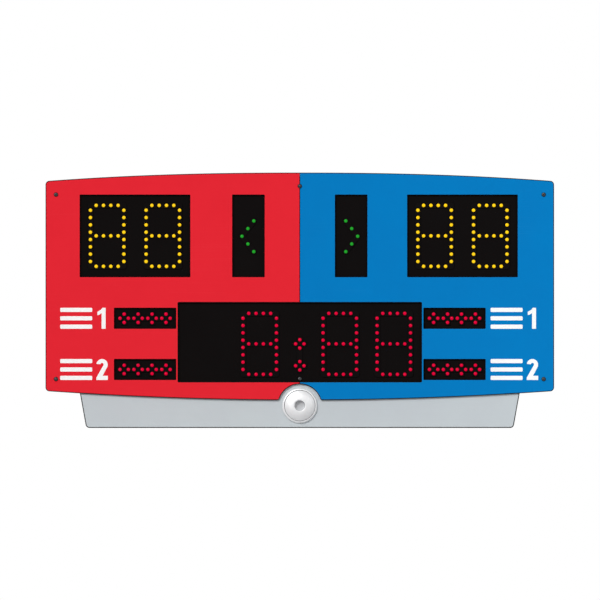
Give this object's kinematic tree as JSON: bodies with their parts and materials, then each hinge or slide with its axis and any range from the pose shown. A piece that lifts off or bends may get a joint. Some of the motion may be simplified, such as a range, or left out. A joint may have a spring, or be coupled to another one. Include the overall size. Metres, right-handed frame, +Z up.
{
  "type": "electronic scoreboard",
  "caption": "Portable combat sports scoreboard with lamp digits, clock, category rows and sounder in a bowed red and blue front on a trapezoid foot, with a folding rear carrying handle.",
  "frame": {"origin": "middle of the flat base of the foot, below the sounder", "axes": "+X to the right as seen from the front, +Y towards the rear cover, +Z up"},
  "size_m": [0.6356, 0.1008, 0.3192],
  "materials": {
    "red_panel": "satin red paint",
    "blue_panel": "satin blue paint",
    "black_board": "matt black board",
    "yellow_lamp": "tinted lamp plastic",
    "red_lamp": "tinted lamp plastic",
    "green_lamp": "tinted lamp plastic",
    "black_steel": "blackened steel",
    "grey_case": "fine-grained light grey moulding",
    "grey_cover": "light grey powder coat",
    "white_plastic": "white moulding",
    "brass": "plain brass disc",
    "steel": "plated steel",
    "green_board": "green circuit board",
    "black_plastic": "black moulding",
    "grey_ribbon": "grey ribbon cable",
    "black_rubber": "black rubber"
  },
  "bodies": {
    "board": {"panel_red": "red_panel", "panel_blue": "blue_panel", "display_board_left": "black_board", "display_board_right": "black_board", "display_board_lower": "black_board", "digit_left_tens": "yellow_lamp", "digit_left_units": "yellow_lamp", "digit_right_tens": "yellow_lamp", "digit_right_units": "yellow_lamp", "arrow_left": "green_lamp", "arrow_right": "green_lamp", "clock_minutes": "red_lamp", "clock_colon": "red_lamp", "clock_tens": "red_lamp", "clock_seconds": "red_lamp", "category_left_upper": "red_lamp", "category_left_lower": "red_lamp", "category_right_upper": "red_lamp", "category_right_lower": "red_lamp", "panel_screw_top_left": "black_steel", "panel_screw_top_right": "black_steel", "panel_screw_bottom_left": "black_steel", "panel_screw_bottom_right": "black_steel", "panel_screw_top_middle": "black_steel", "panel_screw_bottom_middle": "black_steel", "case_shell": "grey_case", "rear_cover": "grey_cover", "cover_screw_top_left": "black_steel", "cover_screw_top_right": "black_steel", "cover_screw_side_left": "black_steel", "cover_screw_side_right": "black_steel", "cover_screw_top_middle": "black_steel", "cover_screw_lower_middle": "black_steel", "cover_screw_foot_left": "black_steel", "cover_screw_foot_right": "black_steel", "sounder_body": "white_plastic", "sounder_cap": "white_plastic", "sounder_element": "brass", "sounder_nut": "steel", "control_board": "green_board", "power_supply": "steel", "ribbon_left": "grey_ribbon", "ribbon_right": "grey_ribbon", "ribbon_lower": "grey_ribbon", "lead_inlet": "black_rubber", "lead_switch": "black_rubber", "lead_supply": "black_rubber", "lead_sounder": "black_rubber", "socket_lead_left": "black_rubber", "socket_lead_right": "black_rubber", "power_inlet": "black_plastic", "switch_frame": "black_plastic", "controller_socket_left": "steel", "controller_socket_right": "steel", "handle_bracket_left": "black_steel", "handle_bracket_right": "black_steel"},
    "handle": {"carry_handle": "steel", "handle_grip": "black_rubber"},
    "rocker": {"switch_rocker": "black_plastic"}
  },
  "joints": [
    {"name": "handle_fold", "type": "hinge", "parent": "board", "child": "handle", "pos_m": [0, 0.047, 0.262], "axis": [1, 0, 0], "range_deg": [0, 170]},
    {"name": "power_switch", "type": "hinge", "parent": "board", "child": "rocker", "pos_m": [-0.145, 0.036, 0.042], "axis": [1, 0, 0], "range_deg": [0, 16]}
  ]
}
